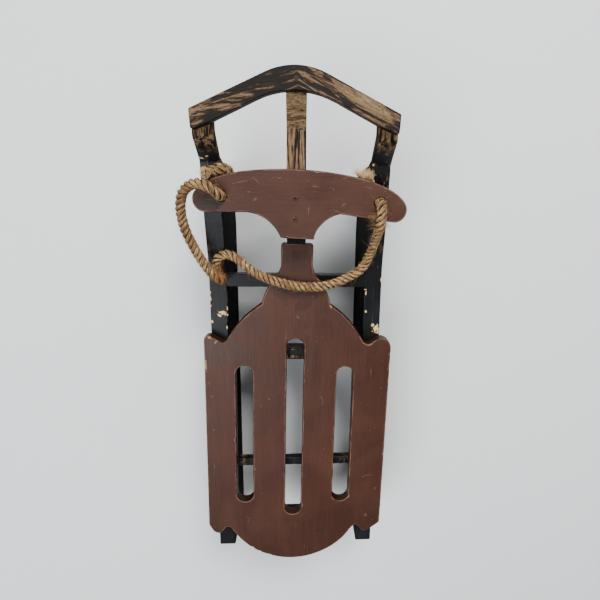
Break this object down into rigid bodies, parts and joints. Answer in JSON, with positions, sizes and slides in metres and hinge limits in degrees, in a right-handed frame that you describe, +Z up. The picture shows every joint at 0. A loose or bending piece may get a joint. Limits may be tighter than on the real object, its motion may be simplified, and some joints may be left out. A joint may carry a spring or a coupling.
{
  "type": "miniature wooden sled",
  "caption": "Small painted wooden runner sled with a slotted scroll-cut deck, a fixed steering bar with a rope loop and a curved nose bow.",
  "frame": {"origin": "centre of the sled's footprint on the ground, with the free rope left out", "axes": "+Z up from the runners to the deck, +Y toward the nose bow, +X to the right as seen from above with the nose away"},
  "size_m": [0.2249, 0.549, 0.1497],
  "materials": {
    "deck_paint": "worn reddish-brown paint, satin",
    "bar_paint": "worn reddish-brown paint, satin",
    "bow_worn_wood": "bare wood with remains of black paint",
    "runner_paint": "chipped blue-black paint, satin",
    "spine_worn_wood": "streaky bare wood with remains of black paint",
    "crossbar_paint": "black paint, satin",
    "screw_steel": "rusty, partly painted over",
    "nail_steel": "dull, partly painted over",
    "sisal": "rough twisted fibre"
  },
  "bodies": {
    "root": {"deck_board": "deck_paint", "steering_bar": "bar_paint", "nose_bow": "bow_worn_wood", "left_runner": "runner_paint", "right_runner": "runner_paint", "center_spine": "spine_worn_wood", "front_crossbar": "crossbar_paint", "second_crossbar": "crossbar_paint", "third_crossbar": "crossbar_paint", "tail_crossbar": "crossbar_paint", "steering_screws": "screw_steel", "deck_nails": "nail_steel", "bow_nails": "nail_steel", "spine_nails": "nail_steel", "left_crossbar_nails": "nail_steel", "right_crossbar_nails": "nail_steel", "tow_rope": "sisal", "left_knot": "sisal", "right_knot": "sisal", "left_rope_end": "sisal", "right_rope_end": "sisal"}
  },
  "joints": []
}
